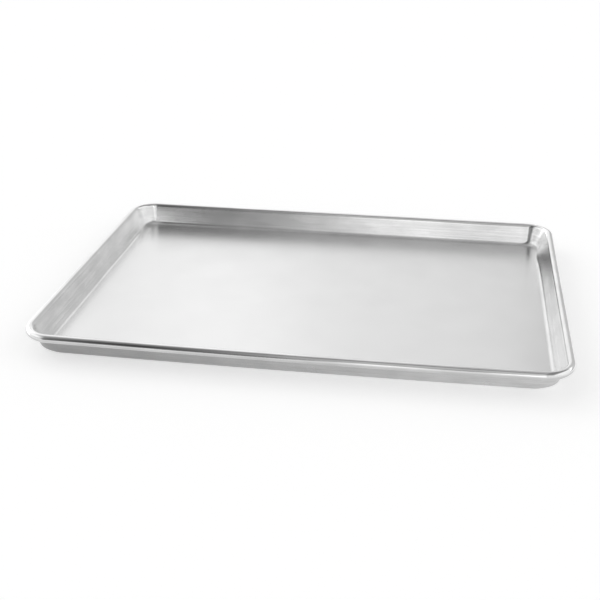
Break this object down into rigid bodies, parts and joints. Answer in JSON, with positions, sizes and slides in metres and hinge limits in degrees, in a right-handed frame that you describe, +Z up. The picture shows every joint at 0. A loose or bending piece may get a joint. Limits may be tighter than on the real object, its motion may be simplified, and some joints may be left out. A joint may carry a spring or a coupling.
{
  "type": "jelly roll pan",
  "caption": "Shallow rectangular baking pan drawn from aluminium sheet, with round corners, slightly leaning walls and a rim rolled round a steel wire.",
  "frame": {"origin": "middle of the pan's footprint, on the surface it stands on", "axes": "+X along the long side, +Y from the front long side to the back one, +Z up"},
  "size_m": [0.4, 0.282, 0.0195],
  "materials": {
    "aluminium_sheet": "drawn sheet, satin inside, brighter on the bends and the rolled rim",
    "galvanised_wire": "dull zinc coat"
  },
  "bodies": {
    "root": {"pan_sheet": "aluminium_sheet", "rim_wire": "galvanised_wire"}
  },
  "joints": []
}
